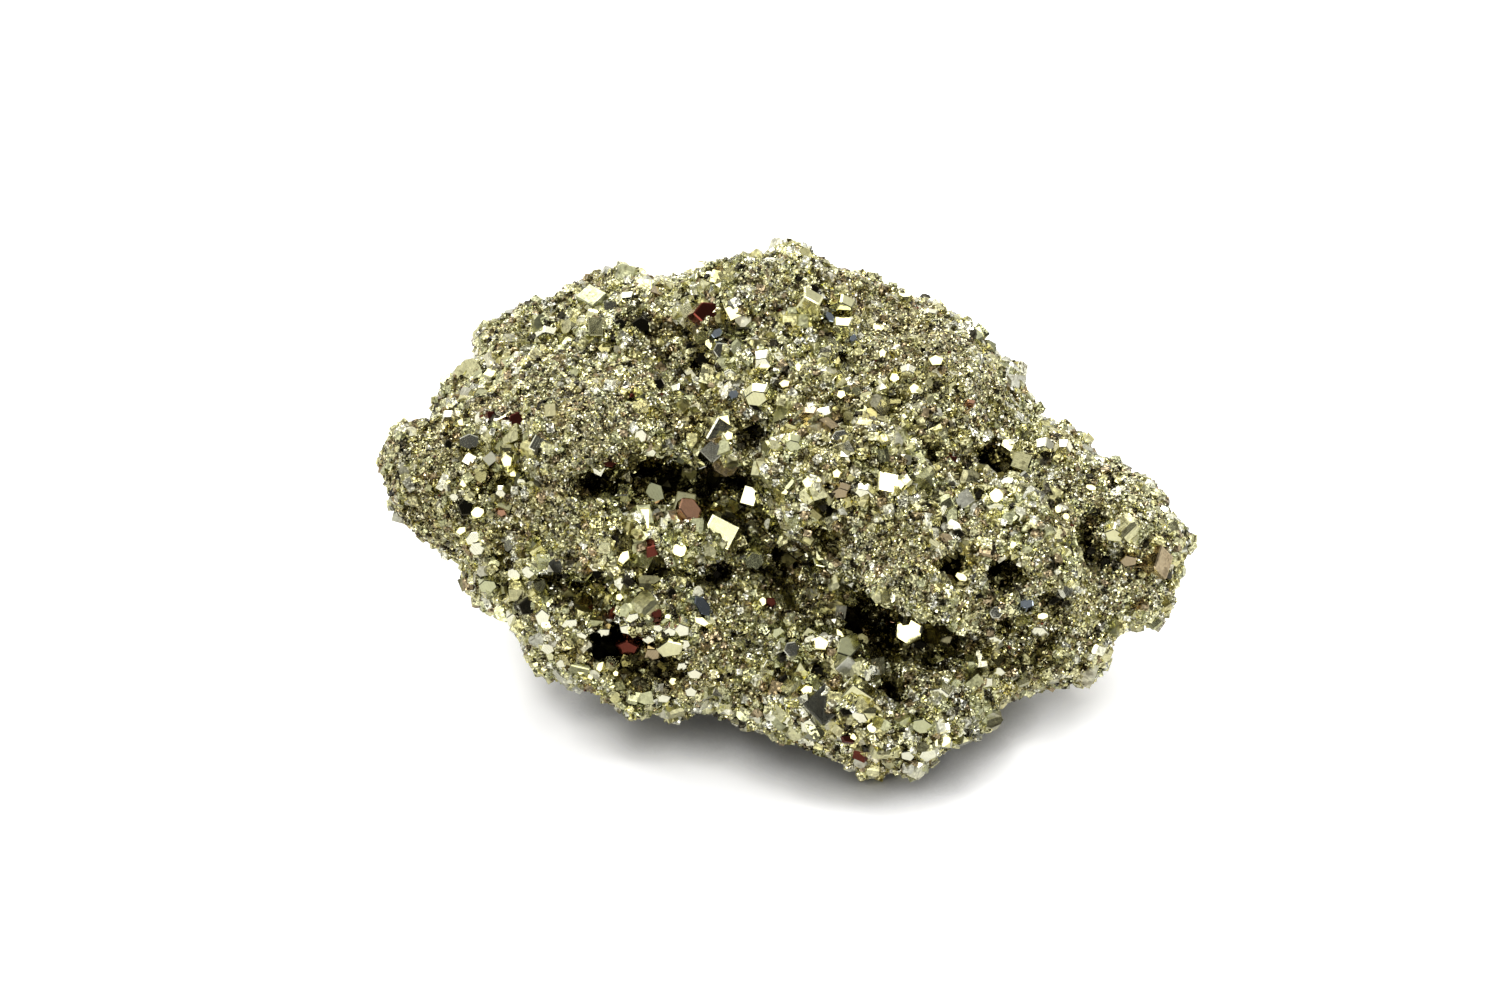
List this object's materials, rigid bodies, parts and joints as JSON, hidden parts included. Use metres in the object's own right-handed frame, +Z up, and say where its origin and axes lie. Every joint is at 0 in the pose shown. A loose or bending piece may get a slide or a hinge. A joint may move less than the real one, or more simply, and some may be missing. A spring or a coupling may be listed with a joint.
{
  "type": "pyrite specimen",
  "caption": "Palm-sized lump of granular pyrite: knobbly lobes grown together, a deep open hollow and crevice in front, small crystals standing out, flat patch underneath.",
  "frame": {"origin": "on the flat broken patch that the lump rests on, under the middle of its length", "axes": "+X along the lump's length, from the domed end to the wing-like end; +Z up from the surface it rests on, its least thickness; -Y is the front with the large hollow"},
  "size_m": [0.0641, 0.043, 0.0308],
  "materials": {
    "pyrite": "natural pale brassy iron sulphide, flat metallic crystal faces, fine sparkling grain, brown tarnish in places"
  },
  "bodies": {
    "root": {"pyrite_lump": "pyrite"}
  },
  "joints": []
}
